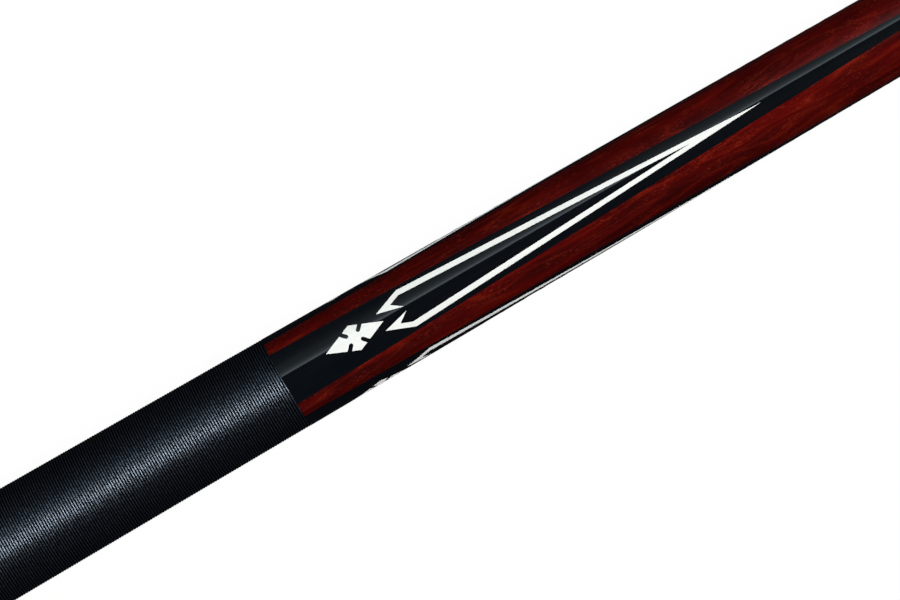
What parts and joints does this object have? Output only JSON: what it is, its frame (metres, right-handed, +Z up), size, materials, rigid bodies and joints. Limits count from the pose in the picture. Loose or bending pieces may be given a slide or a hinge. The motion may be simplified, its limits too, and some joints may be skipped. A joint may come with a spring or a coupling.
{
  "type": "pool cue",
  "caption": "Two-piece pool cue with a burgundy wood forearm, black points with white inlays, a black thread-wrapped handle, a screw joint and a rubber bumper.",
  "frame": {"origin": "centre of the rubber bumper's flat end face, on the cue's axis", "axes": "+X runs along the cue from the bumper to the tip; +Z up as it lies on a table; +Y to the left seen from the bumper"},
  "size_m": [1.4732, 0.0314, 0.0314],
  "materials": {
    "black_plastic": "high gloss",
    "white_inlay": "gloss under clear lacquer",
    "red_wood": "burgundy-stained maple under gloss lacquer",
    "shaft_maple": "smooth sealed maple",
    "handle_maple": "bare turned maple",
    "thread_wrap": "tightly wound pressed thread",
    "bright_ring": "polished",
    "steel": "machined",
    "brass": "machined",
    "ferrule_plastic": "semi-gloss",
    "tip_leather": "chalked",
    "tip_fibre": "matt",
    "rubber": "matt moulded"
  },
  "bodies": {
    "butt": {"joint_pin": "steel", "joint_collar": "black_plastic", "joint_ring_1": "bright_ring", "joint_ring_2": "black_plastic", "joint_ring_3": "bright_ring", "forearm": "red_wood", "forearm_bolt": "steel", "point_1": "black_plastic", "point_2": "black_plastic", "point_3": "black_plastic", "point_4": "black_plastic", "spear_inlay_1": "white_inlay", "spear_inlay_2": "white_inlay", "spear_inlay_3": "white_inlay", "spear_inlay_4": "white_inlay", "diamond_inlay_1": "white_inlay", "diamond_inlay_2": "white_inlay", "diamond_inlay_3": "white_inlay", "diamond_inlay_4": "white_inlay", "handle_core": "handle_maple", "wrap": "thread_wrap", "butt_sleeve": "red_wood", "sleeve_front_ring_1": "bright_ring", "sleeve_front_ring_2": "black_plastic", "sleeve_front_ring_3": "bright_ring", "sleeve_rear_ring_1": "bright_ring", "sleeve_rear_ring_2": "black_plastic", "sleeve_rear_ring_3": "bright_ring", "butt_cap": "black_plastic", "weight_bolt": "steel", "bumper_bushing": "brass"},
    "shaft_thread": {"shaft_insert": "brass"},
    "shaft": {"shaft": "shaft_maple", "tip": "tip_leather", "tip_pad": "tip_fibre", "ferrule": "ferrule_plastic", "shaft_collar": "black_plastic", "shaft_ring_1": "bright_ring", "shaft_ring_2": "black_plastic", "shaft_ring_3": "bright_ring"},
    "bumper_thread": {"bumper_stud": "steel"},
    "bumper": {"bumper": "rubber"}
  },
  "joints": [
    {"name": "shaft_advance", "type": "slide", "parent": "butt", "child": "shaft_thread", "axis": [1, 0, 0], "range_m": [0, 0.0254]},
    {"name": "shaft_turn", "type": "hinge", "parent": "shaft_thread", "child": "shaft", "pos_m": [0.7366, 0, 0], "axis": [1, 0, 0], "range_deg": [0, 6480]},
    {"name": "bumper_advance", "type": "slide", "parent": "butt", "child": "bumper_thread", "axis": [-1, 0, 0], "range_m": [0, 0.01129]},
    {"name": "bumper_turn", "type": "hinge", "parent": "bumper_thread", "child": "bumper", "pos_m": [0.012, 0, 0], "axis": [-1, 0, 0], "range_deg": [0, 2880]}
  ],
  "couplings": [
    {"joint": "shaft_turn", "follows": "shaft_advance", "rad_per_m": 4452.6},
    {"joint": "bumper_turn", "follows": "bumper_advance", "rad_per_m": 4452.6}
  ]
}
